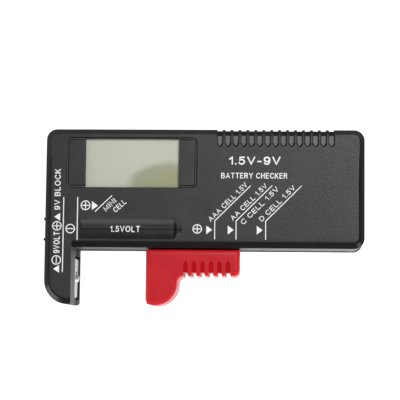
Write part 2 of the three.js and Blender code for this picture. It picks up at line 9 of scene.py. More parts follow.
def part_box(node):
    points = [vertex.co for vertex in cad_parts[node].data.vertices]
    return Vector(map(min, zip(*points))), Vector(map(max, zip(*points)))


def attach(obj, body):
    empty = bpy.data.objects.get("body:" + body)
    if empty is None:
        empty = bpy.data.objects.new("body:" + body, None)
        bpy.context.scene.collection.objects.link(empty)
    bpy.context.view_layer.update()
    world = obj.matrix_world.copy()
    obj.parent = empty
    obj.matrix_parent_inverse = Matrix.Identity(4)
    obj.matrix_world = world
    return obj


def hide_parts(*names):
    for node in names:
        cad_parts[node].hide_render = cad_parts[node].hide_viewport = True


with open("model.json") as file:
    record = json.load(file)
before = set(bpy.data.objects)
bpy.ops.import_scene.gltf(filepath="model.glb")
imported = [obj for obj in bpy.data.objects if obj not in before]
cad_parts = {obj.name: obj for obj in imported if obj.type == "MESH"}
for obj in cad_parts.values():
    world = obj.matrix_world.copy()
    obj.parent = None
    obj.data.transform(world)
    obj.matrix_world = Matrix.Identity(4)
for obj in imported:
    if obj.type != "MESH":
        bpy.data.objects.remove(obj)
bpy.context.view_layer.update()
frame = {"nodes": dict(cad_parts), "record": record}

MM = 0.001

# ---------------------------------------------------------------- places read from the frame

case_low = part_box("rear_shell")[0]
case_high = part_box("front_shell")[1]
FACE_Z = case_high.z

film_low, film_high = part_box("lcd_polarizer")
slider_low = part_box("slider_rear")[0]
slider_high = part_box("slider_front")[1]

# Details of the CAD model that the finishes, the painted light and shade and the printing are fitted to.
# Depths are from the surface.
GRIP_DEPTH = 0.7 * MM
FRAME_LINE_DEPTH = 0.35 * MM
RELIEF_DEPTH = 1.2 * MM
RELIEF_Y = -3.92 * MM
RELIEF_HALF = 3.78 * MM
RELIEF_LOW = Vector((-41.1 * MM, RELIEF_Y - RELIEF_HALF))
RELIEF_HIGH = Vector((-6.5 * MM, RELIEF_Y + RELIEF_HALF))
RIDGE_GROOVE_DEPTH = 0.6 * MM
SLIDER_STEP_Y = -10.8 * MM  # lower edge of the step along the slider's upper edge
SLIDER_MIDDLE_Z = 12 * MM

# ---------------------------------------------------------------- node helpers


def new_material(name):
    material = bpy.data.materials.new(name)
    material.use_nodes = True
    return material, material.node_tree, material.node_tree.nodes["Principled BSDF"]


def add_node(tree, kind, **values):
    node = tree.nodes.new(kind)
    for key, value in values.items():
        setattr(node, key, value)
    return node


def noise(tree, coordinates, scale, detail, roughness=0.5):
    node = add_node(tree, "ShaderNodeTexNoise")
    node.inputs["Scale"].default_value = scale
    node.inputs["Detail"].default_value = detail
    node.inputs["Roughness"].default_value = roughness
    tree.links.new(coordinates, node.inputs["Vector"])
    return node.outputs["Fac"]


def position(tree):
    return add_node(tree, "ShaderNodeTexCoord").outputs["Object"]


def ramp(tree, factor, stops):
    """A colour ramp with (place, colour) stops."""
    node = add_node(tree, "ShaderNodeValToRGB")
    elements = node.color_ramp.elements
    while len(elements) < len(stops):
        elements.new(0.5)
    for element, (place, colour) in zip(elements, stops):
        element.position = place
        element.color = (*colour, 1.0)
    tree.links.new(factor, node.inputs["Fac"])
    return node.outputs["Color"]


NOISE_MIDDLE = (0.3, 0.7)  # where nearly all values of a noise lie


def levels(tree, factor, low, high):
    """Stretches a noise's middle range to run from low to high."""
    node = add_node(tree, "ShaderNodeMapRange")
    node.inputs["From Min"].default_value, node.inputs["From Max"].default_value = NOISE_MIDDLE
    node.inputs["To Min"].default_value = low
    node.inputs["To Max"].default_value = high
    tree.links.new(factor, node.inputs["Value"])
    return node.outputs["Result"]


def bump(tree, bsdf, height, distance, strength=1.0):
    node = add_node(tree, "ShaderNodeBump")
    node.inputs["Strength"].default_value = strength
    node.inputs["Distance"].default_value = distance
    tree.links.new(height, node.inputs["Height"])
    tree.links.new(node.outputs["Normal"], bsdf.inputs["Normal"])


# Scales of the noises, in waves per metre: tone changes slowly, gloss more quickly.
TONE_SCALE = 90.0
GLOSS_SCALE = 260.0
METAL_TONE_SCALE = 400.0
METAL_GRAIN = 1500.0
METAL_BUMP = 0.004 * MM
METAL_SHADE = 0.8  # a metal's darkest tone, as a share of its colour
PLASTIC_IOR = 1.5


def moulded(name, dark, light, roughness, grain, depth, shine=0.5):
    """Moulded plastic: a fine spark-eroded grain, and slow changes of tone and gloss.

    roughness is its lowest and highest value, grain the bump's scale and depth its depth in millimetres.
    """
    material, tree, bsdf = new_material(name)
    at = position(tree)
    tone = noise(tree, at, TONE_SCALE, 3.0)
    tree.links.new(ramp(tree, tone, [(0.35, dark), (0.65, light)]), bsdf.inputs["Base Color"])
    gloss = noise(tree, at, GLOSS_SCALE, 3.0)
    tree.links.new(levels(tree, gloss, *roughness), bsdf.inputs["Roughness"])
    bump(tree, bsdf, noise(tree, at, grain, 3.0, 0.6), depth * MM)
    bsdf.inputs["IOR"].default_value = PLASTIC_IOR
    bsdf.inputs["Specular IOR Level"].default_value = shine
    return material


def metal(name, colour, roughness):
    """Bright metal with a fine grain. roughness is its lowest and highest value."""
    material, tree, bsdf = new_material(name)
    at = position(tree)
    dark = tuple(METAL_SHADE * c for c in colour)
    tone = noise(tree, at, METAL_TONE_SCALE, 3.0)
    tree.links.new(ramp(tree, tone, [(0.3, dark), (0.7, colour)]), bsdf.inputs["Base Color"])
    gloss = noise(tree, at, METAL_GRAIN, 2.0)
    tree.links.new(levels(tree, gloss, *roughness), bsdf.inputs["Roughness"])
    bump(tree, bsdf, noise(tree, at, METAL_GRAIN, 2.0), METAL_BUMP)
    bsdf.inputs["Metallic"].default_value = 1.0
    return material


FILM_PALE = (0.465, 0.475, 0.40)
# Colours of a painted reflection on the film: a soft olive patch.
FILM_PAINTED_REFLECTION = (0.305, 0.318, 0.220)
FILM_PAINTED_REFLECTION_GREEN = (0.290, 0.305, 0.180)
FILM_ROUGHNESS = 0.32
REFLECTION_CENTRE = 0.92  # place of the painted reflection's middle along the film's lower edge, as a share of it
REFLECTION_RADII = (0.45, 0.50)  # as shares of the film's width and height
REFLECTION_RIPPLE = 0.22  # strength, in radii, of the noise that makes the painted reflection's edge wander
RIPPLE_SCALE = 170.0
REFLECTION_SCALE = 0.8  # turns a distance in radii into a place on the painted reflection's colour ramp
FILM_SPECKLE = 0.2  # strength of the film's fine grain, its scale and its darkest tone
SPECKLE_SCALE = 5000.0
SPECKLE_SHADE = 0.82


def film_material():
    """Display film: pale grey-green, with a painted reflection, a soft olive patch, spreading from the
    lower right corner.
    """
    material, tree, bsdf = new_material("display_film")
    at = position(tree)
    size = film_high - film_low
    # The painted reflection is the inside of an ellipse, and its edge wanders a little with a slow noise.
    centre = (film_low.x + REFLECTION_CENTRE * size.x, film_low.y)
    stretch = (1.0 / (REFLECTION_RADII[0] * size.x), 1.0 / (REFLECTION_RADII[1] * size.y))
    place = add_node(tree, "ShaderNodeMapping")
    place.inputs["Location"].default_value = (-centre[0] * stretch[0], -centre[1] * stretch[1], 0.0)
    place.inputs["Scale"].default_value = (stretch[0], stretch[1], 0.0)
    tree.links.new(at, place.inputs["Vector"])
    radius = add_node(tree, "ShaderNodeVectorMath", operation="LENGTH")
    tree.links.new(place.outputs["Vector"], radius.inputs[0])
    ripple = add_node(tree, "ShaderNodeMath", operation="MULTIPLY_ADD")
    ripple.inputs[1].default_value = REFLECTION_RIPPLE
    tree.links.new(noise(tree, at, RIPPLE_SCALE, 2.0), ripple.inputs[0])
    tree.links.new(radius.outputs["Value"], ripple.inputs[2])
    scaled = add_node(tree, "ShaderNodeMath", operation="MULTIPLY")
    scaled.inputs[1].default_value = REFLECTION_SCALE
    tree.links.new(ripple.outputs["Value"], scaled.inputs[0])
    # Painted reflection: olive towards the lower right corner, the pale film elsewhere.
    painted_reflection = ramp(
        tree,
        scaled.outputs["Value"],
        [(0.0, FILM_PAINTED_REFLECTION_GREEN), (0.45, FILM_PAINTED_REFLECTION_GREEN), (0.80, FILM_PAINTED_REFLECTION), (1.0, FILM_PALE)],
    )
    speckle = add_node(tree, "ShaderNodeMix", data_type="RGBA", blend_type="MULTIPLY")
    speckle.inputs["Factor"].default_value = FILM_SPECKLE
    tree.links.new(painted_reflection, speckle.inputs["A"])
    grain = noise(tree, at, SPECKLE_SCALE, 1.0)
    fine = ramp(tree, grain, [(0.3, (SPECKLE_SHADE,) * 3), (0.7, (1.0,) * 3)])
    tree.links.new(fine, speckle.inputs["B"])
    tree.links.new(speckle.outputs["Result"], bsdf.inputs["Base Color"])
    bsdf.inputs["Roughness"].default_value = FILM_ROUGHNESS
    return material


INK_DARK = (0.68, 0.68, 0.70)
INK_LIGHT = (0.84, 0.84, 0.86)
INK_SCALE = 3500.0
INK_ROUGHNESS = 0.5
INK_BUMP = 0.01 * MM
INK_BUMP_STRENGTH = 0.4


def ink_material():
    """Screen printing ink, white and a little uneven."""
    material, tree, bsdf = new_material("white_ink")
    at = position(tree)
    tone = noise(tree, at, INK_SCALE, 2.0)
    tree.links.new(ramp(tree, tone, [(0.3, INK_DARK), (0.6, INK_LIGHT)]), bsdf.inputs["Base Color"])
    bsdf.inputs["Roughness"].default_value = INK_ROUGHNESS
    bump(tree, bsdf, tone, INK_BUMP, INK_BUMP_STRENGTH)
    return material


# Each moulded finish: its name, darkest and lightest colour, roughness, grain, bump depth and shine.
BLACK_FACE = moulded(
    "black_textured", (0.0095, 0.0094, 0.0090), (0.0130, 0.0127, 0.0121), (0.40, 0.48), 1900.0, 0.07
)
BLACK_EDGE = moulded(
    "black_smooth", (0.010, 0.010, 0.010), (0.014, 0.0135, 0.013), (0.42, 0.50), 2400.0, 0.004, 0.2
)
BLACK_REAR = moulded(
    "black_rear", (0.010, 0.010, 0.010), (0.014, 0.0135, 0.013), (0.55, 0.65), 2400.0, 0.008, 0.15
)
# A darker copy of the smooth black for sloped faces: chamfers, groove walls and the hollow's end walls.
# Its lower roughness is their real smoothness; its darker colour is painted shade.
BLACK_BEVEL_PAINTED_SHADE = moulded(
    "black_bevel_painted_shade", (0.006, 0.006, 0.006), (0.008, 0.0077, 0.0075), (0.28, 0.34), 2400.0, 0.003, 0.12
)
# The floors of the grip grooves: smooth, and a lighter grey that is painted sheen.
BLACK_GROOVE_PAINTED_SHEEN = moulded(
    "black_groove_painted_sheen", (0.088, 0.086, 0.081), (0.108, 0.105, 0.099), (0.5, 0.6), 2400.0, 0.01
)
# The floor of the line framing the display: a grey lighter than the face, which is painted sheen.
BLACK_LINE_PAINTED_SHEEN = moulded(
    "black_line_painted_sheen", (0.040, 0.040, 0.039), (0.052, 0.051, 0.049), (0.5, 0.6), 2400.0, 0.01
)
# The glossy floor of the battery-shaped hollow, in two copies: a lighter, shinier one for its upper half,
# which is painted light, and a darker one for its lower half, which is painted shade.
BLACK_GLOSS_PAINTED_LIT = moulded(
    "black_gloss_painted_lit", (0.016, 0.0148, 0.0144), (0.020, 0.0186, 0.0182), (0.28, 0.34), 900.0, 0.002, 0.60
)
BLACK_GLOSS_PAINTED_SHADE = moulded(
    "black_gloss_painted_shade", (0.009, 0.0087, 0.0085), (0.012, 0.0116, 0.0114), (0.28, 0.34), 900.0, 0.002, 0.26
)
RED = moulded(
    "red_smooth", (0.435, 0.0068, 0.0135), (0.480, 0.0082, 0.0158), (0.34, 0.42), 2600.0, 0.008, 0.28
)
# Painted shade for the floors of the slider's ridge grooves: a deeper red with less shine, where the
# grooves are shaded from the light above.
RED_GROOVE_PAINTED_SHADE = moulded(
    "red_groove_painted_shade", (0.40, 0.0012, 0.0050), (0.435, 0.0018, 0.0060), (0.45, 0.55), 2600.0, 0.006, 0.06
)
RED_EDGE = moulded(
    "red_edge", (0.49, 0.0050, 0.0095), (0.54, 0.0062, 0.0115), (0.50, 0.58), 2600.0, 0.008, 0.16
)
# Painted shade: a very dark red on the narrow step along the slider's upper edge, where the case's edge
# shades it.
RED_SHADE = moulded(
    "red_shade", (0.035, 0.0010, 0.0012), (0.050, 0.0012, 0.0016), (0.5, 0.6), 2600.0, 0.006, 0.1
)
NICKEL = metal("nickel", (0.62, 0.60, 0.57), (0.24, 0.38))
SPRING = metal("spring_nickel", (0.60, 0.575, 0.55), (0.34, 0.48))
STEEL = metal("zinc_steel", (0.48, 0.48, 0.50), (0.3, 0.45))
FILM = film_material()
INK = ink_material()
GLASS = moulded("display_glass", (0.62, 0.64, 0.57), (0.66, 0.68, 0.61), (0.10, 0.16), 900.0, 0.001)
RUBBER = moulded(
    "connector_rubber", (0.030, 0.030, 0.033), (0.050, 0.050, 0.055), (0.7, 0.85), 2500.0, 0.02
)
BOARD = moulded("solder_mask", (0.010, 0.110, 0.030), (0.016, 0.160, 0.045), (0.35, 0.5), 1400.0, 0.01)
EPOXY = moulded("epoxy", (0.006, 0.006, 0.006), (0.012, 0.012, 0.012), (0.25, 0.4), 900.0, 0.02)
LACQUER = moulded("resistor_lacquer", (0.36, 0.29, 0.18), (0.46, 0.38, 0.25), (0.4, 0.55), 2000.0, 0.01)
SLEEVE = moulded(
    "capacitor_sleeve", (0.012, 0.022, 0.075), (0.018, 0.032, 0.100), (0.3, 0.42), 1500.0, 0.01
)
FERRITE = moulded("ferrite", (0.035, 0.035, 0.038), (0.060, 0.060, 0.064), (0.6, 0.75), 2800.0, 0.02)
RED_WIRE = moulded("red_insulation", (0.34, 0.012, 0.012), (0.42, 0.020, 0.018), (0.4, 0.5), 1500.0, 0.01)
BLACK_WIRE = moulded(
    "black_insulation", (0.010, 0.010, 0.010), (0.018, 0.018, 0.018), (0.4, 0.5), 1500.0, 0.01
)

# ---------------------------------------------------------------- mesh helpers


def mesh_object(name, mesh):
    piece = bpy.data.objects.new(name, mesh)
    bpy.context.scene.collection.objects.link(piece)
    return piece


def frozen(piece):
    """Applies a piece's modifiers."""
    graph = bpy.context.evaluated_depsgraph_get()
    mesh = bpy.data.meshes.new_from_object(piece.evaluated_get(graph))
    piece.modifiers.clear()
    piece.data = mesh


WELD = 0.002 * MM  # corners nearer than this become one
FLAT_ANGLE = math.radians(0.6)  # faces that meet at less than this are merged
SHARP_ANGLE = math.radians(35.0)  # edges sharper than this get a fillet
FLAT_WEIGHT = 80  # above 50, the shading at a corner leans towards its largest faces
CUT_NEARNESS = 1e-7  # a corner nearer to a cut than this lies on it
CELL_PITCH = 8.3 * MM
# The direction, first place and number of the cuts. They keep clear of the case's rounded corners.
CELL_CUTS = ((Vector((1, 0, 0)), -44.5 * MM, 12), (Vector((0, 1, 0)), -21.2 * MM, 6))


def cut_into_cells(work):
    """Cuts a mesh along upright planes, so that its merged faces are simple ones without holes."""
    for axis, first, count in CELL_CUTS:
        for step in range(count):
            everything = [*work.verts, *work.edges, *work.faces]
            place = axis * (first + step * CELL_PITCH)
            cut = bmesh.ops.bisect_plane(
                work, geom=everything, dist=CUT_NEARNESS, plane_co=place, plane_no=axis
            )
            for item in cut["geom_cut"]:
                if isinstance(item, bmesh.types.BMEdge):
                    item.seam = True


def weigh_edges(work, radius, widest, width_at):
    """Gives each sharp edge its fillet radius, as a share of the widest one."""
    layer = work.edges.layers.float.new("bevel_weight_edge")
    for edge in work.edges:
        if len(edge.link_faces) == 2 and edge.calc_face_angle() > SHARP_ANGLE:
            edge[layer] = max(radius, width_at(edge)) / widest


def softened(node_name, name, radius, width_at=None, widest=None, segments=2):
    """A copy of a CAD node whose sharp edges have small fillets and whose curves shade smoothly.

    width_at(edge) asks for a wider fillet, up to widest, on some edges.
    """
    source = frame["nodes"][node_name]
    mesh = source.data.copy()
    mesh.materials.clear()
    work = bmesh.new()
    work.from_mesh(mesh)
    bmesh.ops.remove_doubles(work, verts=work.verts, dist=WELD)
    cut_into_cells(work)
    bmesh.ops.dissolve_limit(
        work, angle_limit=FLAT_ANGLE, verts=work.verts, edges=work.edges, delimit={"SEAM"}
    )
    bmesh.ops.recalc_face_normals(work, faces=work.faces)
    widest = widest or radius
    weigh_edges(work, radius, widest, width_at or (lambda edge: radius))
    work.to_mesh(mesh)
    work.free()
    piece = mesh_object(name, mesh)
    bevel = piece.modifiers.new("fillet", "BEVEL")
    bevel.width = widest
    bevel.segments = segments
    bevel.limit_method = "WEIGHT"
    bevel.use_clamp_overlap = False
    bevel.loop_slide = False  # keeps the ends of the wide fillets in place
    bevel.miter_outer = "MITER_ARC"
    frozen(piece)
    for polygon in piece.data.polygons:
        polygon.use_smooth = True
    weighted = piece.modifiers.new("weighted", "WEIGHTED_NORMAL")
    weighted.weight = FLAT_WEIGHT
    frozen(piece)
    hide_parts(node_name)
    return piece


def paint(piece, materials, choose=lambda centre, normal: 0):
    """Gives each face the material whose number choose(centre, normal) returns."""
    for material in materials:
        piece.data.materials.append(material)
    for polygon in piece.data.polygons:
        polygon.material_index = choose(polygon.center, polygon.normal)


def finish_piece(piece, body):
    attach(piece, body)


# ---------------------------------------------------------------- case

CASE_FILLET = 0.14 * MM
REAR_FILLET = 0.16 * MM
CHAMFER_FILLET = 0.75 * MM  # widest fillet, where the chamfer meets the face
CHAMFER_SEGMENTS = 3
FILLET_TOP = 20.3 * MM  # where it ends, below the upper corners
NEAR_FACE = 0.01 * MM
CHAMFER_NORMAL = math.sqrt(0.5)  # z of the chamfer's normal, at 45 degrees
NEAR_NORMAL = 0.02


def chamfer_fillet(edge):
    """The fillet between the face and the chamfer round it, which fades out up the two sides."""
    on_face = all(abs(vert.co.z - FACE_Z) < NEAR_FACE for vert in edge.verts)
    by_chamfer = any(abs(face.normal.z - CHAMFER_NORMAL) < NEAR_NORMAL for face in edge.link_faces)
    if not (on_face and by_chamfer):
        return 0.0
    middle = (edge.verts[0].co + edge.verts[1].co) / 2
    return CHAMFER_FILLET * min(1.0, max(0.0, (FILLET_TOP - middle.y) / CELL_PITCH))


front = softened(
    "front_shell", "case_front", CASE_FILLET, chamfer_fillet, CHAMFER_FILLET, CHAMFER_SEGMENTS
)

FRONT_FINISHES_AND_PAINTED_LIGHT = [
    BLACK_FACE,
    BLACK_EDGE,
    BLACK_BEVEL_PAINTED_SHADE,
    BLACK_GROOVE_PAINTED_SHEEN,
    BLACK_LINE_PAINTED_SHEEN,
    BLACK_GLOSS_PAINTED_LIT,
    BLACK_GLOSS_PAINTED_SHADE,
]
TEXTURED, SMOOTH, BEVEL, GROOVE_SHEEN, LINE_SHEEN, GLOSS_PAINTED_LIT, GLOSS_PAINTED_SHADE = range(len(FRONT_FINISHES_AND_PAINTED_LIGHT))
FACE_BAND = 0.06 * MM  # how far below the face its texture reaches
GROOVE_ROOM = 0.1 * MM
LINE_ROOM = 0.05 * MM
BELOW_DISPLAY = 2 * MM  # grip and frame line reach at most this far below the film
UPRIGHT = 0.9  # least z of the normal of a groove's floor
SLOPING = 0.25  # and of a bevel
TURNED = 0.2  # least x, to either side, of the normal of the relief's end walls


def front_finish_and_painted_light(centre, normal):
    """Which of the shell's black finishes a face has, by its place and direction. Several of them are
    painted light and shade.
    """
    if centre.z > FACE_Z - FACE_BAND:
        return TEXTURED
    below = FACE_Z - centre.z
    on_floor = normal.z > UPRIGHT
    near_display = centre.y > film_low.y - BELOW_DISPLAY
    if on_floor and near_display and abs(below - GRIP_DEPTH) < GROOVE_ROOM:
        # the grip grooves' floors take a lighter grey, which is painted sheen
        return GROOVE_SHEEN
    if on_floor and near_display and abs(below - FRAME_LINE_DEPTH) < LINE_ROOM:
        # the frame line's floor takes a lighter grey, which is painted sheen
        return LINE_SHEEN
    in_relief = RELIEF_LOW.x < centre.x < RELIEF_HIGH.x and RELIEF_LOW.y < centre.y < RELIEF_HIGH.y
    if in_relief and below < RELIEF_DEPTH + GROOVE_ROOM and normal.z > 0:
        if abs(normal.x) > TURNED:
            # the hollow's end walls take the darker sloped copy, a painted shade that holds back their
            # highlight
            return BEVEL
        # painted light on the upper half of the hollow's floor, painted shade on its lower half
        return GLOSS_PAINTED_LIT if centre.y > RELIEF_Y else GLOSS_PAINTED_SHADE
    # other sloped faces take the darker copy, which is painted shade
    return BEVEL if normal.z > SLOPING else SMOOTH


paint(front, FRONT_FINISHES_AND_PAINTED_LIGHT, front_finish_and_painted_light)
finish_piece(front, "housing")

rear = softened("rear_shell", "case_rear", REAR_FILLET)
paint(rear, [BLACK_REAR])
finish_piece(rear, "housing")

# ---------------------------------------------------------------- slider

SLIDER_FINISHES_AND_PAINTED_SHADE = [RED, RED_GROOVE_PAINTED_SHADE, RED_SHADE, RED_EDGE]
PLAIN, GROOVE_SHADE, SHADE, EDGE = range(len(SLIDER_FINISHES_AND_PAINTED_SHADE))
STEP_REACH = 7 * MM  # how far the painted shade on the step reaches to each side of the slider's middle
RIDGE_ROOM = 0.15 * MM
BELOW_STEP = 2 * MM  # the ridge grooves start at least this far below the step
ROUNDED = (0.1, 0.98)  # least and greatest z of the normals of rounded edges


def slider_finish_and_painted_shade(centre, normal):
    """A deeper red in the ridge grooves and a dark step along the upper edge, both painted shade, and
    duller rounded edges.
    """
    from_front = abs(slider_high.z - centre.z - RIDGE_GROOVE_DEPTH)
    from_rear = abs(centre.z - slider_low.z - RIDGE_GROOVE_DEPTH)
    if centre.y > SLIDER_STEP_Y and abs(centre.z - SLIDER_MIDDLE_Z) < STEP_REACH:
        # painted shade on the step
        return SHADE
    if ROUNDED[0] < abs(normal.z) < ROUNDED[1]:
        return EDGE
    on_floor = abs(normal.z) > UPRIGHT and min(from_front, from_rear) < RIDGE_ROOM
    # painted shade on the ridge grooves' floors
    return GROOVE_SHADE if on_floor and centre.y < SLIDER_STEP_Y - BELOW_STEP else PLAIN


for node in ("slider_front", "slider_rear"):
    half = softened(node, node.replace("slider", "jaw"), CASE_FILLET)
    paint(half, SLIDER_FINISHES_AND_PAINTED_SHADE, slider_finish_and_painted_shade)
    finish_piece(half, "slider")

# ---------------------------------------------------------------- contacts and screws

SPRING_FILLET = 0.06 * MM
STUD_FILLET = 0.08 * MM
SCREW_FILLET = 0.07 * MM
# Each small part: its CAD node, piece name, body, slot, metal and fillet.
SMALL_PARTS = [
    ("arm_contact", "arm_spring", "arm_leaf", "nickel", SPRING, SPRING_FILLET),
    ("slider_contact", "jaw_spring", "slider", "nickel", NICKEL, SPRING_FILLET),
    ("nine_volt_positive_stud", "positive_stud", "housing", "nickel", NICKEL, STUD_FILLET),
    ("nine_volt_negative_stud", "negative_stud", "housing", "nickel", NICKEL, STUD_FILLET),
]
SMALL_PARTS += [
    (f"case_screw_{number}", f"shell_screw_{number}", "housing", "screw", STEEL, SCREW_FILLET)
    for number in (1, 2, 3, 4)
]
for node, name, body, slot, metal_finish, fillet in SMALL_PARTS:
    small = softened(node, name, fillet)
    paint(small, [metal_finish])
    finish_piece(small, body)

# ---------------------------------------------------------------- carried-over CAD nodes

SLOT_MATERIALS = {
    "nickel": NICKEL,
    "screw": STEEL,
    "display_film": FILM,
    "display_glass": GLASS,
    "rubber": RUBBER,
    "board": BOARD,
    "epoxy": EPOXY,
    "resistor": LACQUER,
    "sleeve": SLEEVE,
    "ferrite": FERRITE,
    "red_wire": RED_WIRE,
    "black_wire": BLACK_WIRE,
}
node_slots = {entry["node"]: entry["material_slot"] for entry in frame["record"]["subparts"]}
for name, node in frame["nodes"].items():
    finish = SLOT_MATERIALS.get(node_slots[name])
    if finish:
        node.data.materials.clear()
        node.data.materials.append(finish)

# ---------------------------------------------------------------- printing

INK_RISE = 0.02 * MM  # printing stands this far above the face, and goes as far below it
STROKE_STEP = 0.003 * MM
STROKE_LAYERS = 4
RELIEF_LIFT = 0.03 * MM  # keeps printing above the flats of the hollow's round floor
PRINT_EDGE = 0.45 * MM  # longer edges are cut up before printing is laid down
# From here to the end of the printing, places and sizes are in millimetres.
SHARPEST_MITRE = 0.62  # keeps the mitres of sharp bends short
CLOSED = 0.001  # a line whose ends are nearer than this is a closed one
CIRCLE_STEPS = 40
RING_WEIGHT = 0.32
RING_DIAMETER = 3.2
BAR_REACH = 0.36  # half the length of a polarity sign's bars, as a share of the ring's diameter
LETTER_SPACE = 0.20  # between letters, in the units of their widths
ink_parts = []


def ink_mesh(outline, holes=()):
    """A thin plate on the face from an outline of (x, y) points, with holes in it."""
    work = bmesh.new()
    loops = []
    for points in (outline, *holes):
        verts = [work.verts.new((x * MM, y * MM, FACE_Z - INK_RISE)) for x, y in points]
        loops.append([work.edges.new((verts[i - 1], verts[i])) for i in range(len(verts))])
    bmesh.ops.triangle_fill(work, use_beauty=True, edges=[edge for loop in loops for edge in loop])
    ink_plate(work)


def ink_plate(work):
    """Gives flat printing its thickness and keeps it with the rest."""
    grown = bmesh.ops.extrude_face_region(work, geom=list(work.faces))
    lifted = [item for item in grown["geom"] if isinstance(item, bmesh.types.BMVert)]
    # Crossing strokes lie at slightly different heights, so that no two of their faces coincide.
    layer = STROKE_STEP * (len(ink_parts) % STROKE_LAYERS)
    bmesh.ops.translate(work, verts=lifted, vec=(0, 0, 2 * INK_RISE + layer))
    bmesh.ops.recalc_face_normals(work, faces=work.faces)
    mesh = bpy.data.meshes.new("ink")
    work.to_mesh(mesh)
    work.free()
    ink_parts.append(mesh_object("ink", mesh))


def circle(x, y, radius):
    angles = [2 * math.pi * step / CIRCLE_STEPS for step in range(CIRCLE_STEPS)]
    return [(x + radius * math.cos(a), y + radius * math.sin(a)) for a in angles]


def line(points, width):
    """A printed ribbon through (x, y) points, mitred at its bends. It may close on itself."""
    points = [Vector(point) for point in points]
    closed = (points[0] - points[-1]).length < CLOSED
    work = bmesh.new()
    pairs = []
    for index, here in enumerate(points):
        last = index + 1 == len(points)
        before = here - points[index - 1] if index else (here - points[-2] if closed else None)
        after = points[1] - here if last and closed else None if last else points[index + 1] - here
        runs = [run.normalized() for run in (before, after) if run]
        along = sum(runs, Vector((0, 0))).normalized()
        side = Vector((-along.y, along.x))
        reach = width / 2 / max(side.dot(Vector((-runs[0].y, runs[0].x))), SHARPEST_MITRE)
        edge = [here + side * reach, here - side * reach]
        pairs.append([work.verts.new((x * MM, y * MM, FACE_Z - INK_RISE)) for x, y in edge])
    for (left, right), (next_left, next_right) in zip(pairs, pairs[1:]):
        work.faces.new((left, right, next_right, next_left))
    ink_plate(work)


def polarity_ring(x, y, sign, upright=False, diameter=RING_DIAMETER):
    """A ring with a minus bar or a plus cross inside it."""
    ink_mesh(circle(x, y, diameter / 2), [circle(x, y, diameter / 2 - RING_WEIGHT)])
    reach = BAR_REACH * diameter
    half = RING_WEIGHT / 2
    if sign == "+":
        cross = [(half, reach), (half, half), (reach, half), (reach, -half), (half, -half), (half, -reach)]
        cross += [(-px, -py) for px, py in cross]
        ink_mesh([(x + px, y + py) for px, py in cross])
    elif upright:
        line([(x, y - reach), (x, y + reach)], RING_WEIGHT)
    else:
        line([(x - reach, y), (x + reach, y)], RING_WEIGHT)


def arrow(x0, x1, y, half):
    """A solid triangle with its base at x0 and its point at x1."""
    ink_mesh([(x0, y - half), (x1, y), (x0, y + half)])


def arc(cx, cy, rx, ry, start, end, steps=12):
    """Points along part of an ellipse, from start to end degrees."""
    turns = [math.radians(start + (end - start) * step / steps) for step in range(steps + 1)]
    return [(cx + rx * math.cos(t), cy + ry * math.sin(t)) for t in turns]


# Each letter is its width and its strokes, in units of the height between the outer strokes' middles.
LETTERS = {
    "A": (0.72, [[(0, 0), (0.36, 1), (0.72, 0)], [(0.16, 0.33), (0.56, 0.33)]]),
    "B": (0.60, [[(0, 0), (0, 1)], [(0, 1), *arc(0.32, 0.77, 0.24, 0.23, 90, -90), (0, 0.54)],
                 [(0.3, 0.54), *arc(0.32, 0.27, 0.28, 0.27, 90, -90), (0, 0)]]),
    "C": (0.66, [arc(0.37, 0.5, 0.37, 0.5, 42, 318, 20)]),
    "D": (0.64, [[(0, 0), (0, 1)], [(0, 1), *arc(0.26, 0.5, 0.38, 0.5, 90, -90, 16), (0, 0)]]),
    "E": (0.52, [[(0.52, 1), (0, 1), (0, 0), (0.52, 0)], [(0, 0.52), (0.46, 0.52)]]),
    "H": (0.60, [[(0, 0), (0, 1)], [(0.6, 0), (0.6, 1)], [(0, 0.52), (0.6, 0.52)]]),
    "I": (0.0, [[(0, 0), (0, 1)]]),
    "K": (0.60, [[(0, 0), (0, 1)], [(0.56, 1), (0, 0.36)], [(0.2, 0.58), (0.6, 0)]]),
    "L": (0.48, [[(0, 1), (0, 0), (0.48, 0)]]),
    "M": (0.74, [[(0, 0), (0, 1), (0.37, 0.1), (0.74, 1), (0.74, 0)]]),
    "N": (0.60, [[(0, 0), (0, 1), (0.6, 0), (0.6, 1)]]),
    "O": (0.74, [arc(0.37, 0.5, 0.37, 0.5, 0, 360, 24)]),
    "R": (0.60, [[(0, 0), (0, 1)], [(0, 1), *arc(0.32, 0.76, 0.24, 0.24, 90, -90), (0, 0.52)],
                 [(0.32, 0.52), (0.6, 0)]]),
    "T": (0.60, [[(0, 1), (0.6, 1)], [(0.3, 1), (0.3, 0)]]),
    "V": (0.66, [[(0, 1), (0.33, 0), (0.66, 1)]]),
    "Y": (0.66, [[(0, 1), (0.33, 0.45), (0.66, 1)], [(0.33, 0.45), (0.33, 0)]]),
    "1": (0.24, [[(0, 0.74), (0.12, 0.82), (0.24, 1), (0.24, 0)]]),
    "5": (0.52, [[(0.48, 1), (0.1, 1), (0.04, 0.5), *arc(0.25, 0.33, 0.27, 0.33, 125, -150, 16)]]),
    "9": (0.52, [arc(0.26, 0.69, 0.26, 0.31, 0, 360, 20),
                 [(0.52, 0.69), *arc(0.24, 0.42, 0.28, 0.42, 10, -140)]]),
    "-": (0.28, [[(0, 0.38), (0.28, 0.38)]]),
    ".": (0.0, [[(0, 0), (0, 0.02)]]),
    " ": (0.1, []),
}


def capped(stroke, weight):
    """A stroke lengthened at both ends by half its weight."""
    first, last = Vector(stroke[0]), Vector(stroke[-1])
    if (first - last).length < CLOSED:
        return stroke
    stroke[0] = first + (first - Vector(stroke[1])).normalized() * weight / 2
    stroke[-1] = last + (last - Vector(stroke[-2])).normalized() * weight / 2
    return stroke


